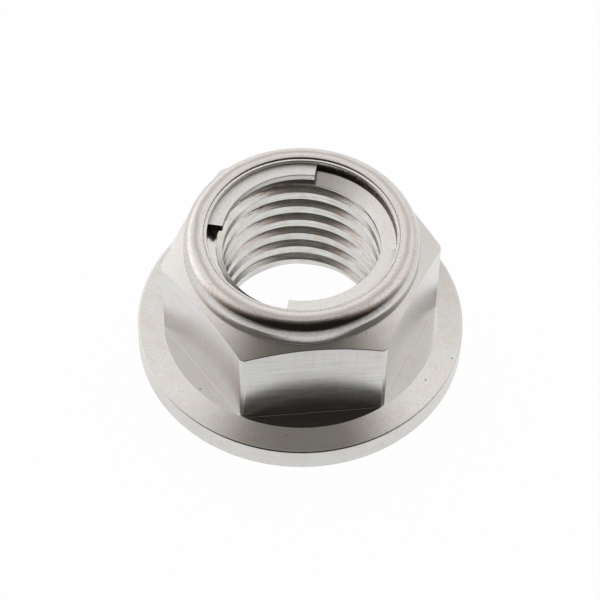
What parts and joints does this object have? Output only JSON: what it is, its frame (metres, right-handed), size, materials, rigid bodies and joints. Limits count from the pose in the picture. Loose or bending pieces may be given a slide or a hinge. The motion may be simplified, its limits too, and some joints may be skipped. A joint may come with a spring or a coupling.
{
  "type": "sprocket nut",
  "caption": "Flanged hex lock nut for a sprocket stud: sloped round flange, trimmed hexagon, rolled collar and a flat spring ring whose tabs bite the thread.",
  "frame": {"origin": "centre of the bearing face, on the thread axis", "axes": "+Z along the thread axis from the flange to the collar; a flat of the hexagon faces -Y"},
  "size_m": [0.0192, 0.019, 0.0095],
  "materials": {
    "nut_steel": "bright turned and milled",
    "spring_steel": "bright rolled sheet"
  },
  "bodies": {
    "root": {"nut_body": "nut_steel", "friction_ring": "spring_steel"}
  },
  "joints": []
}
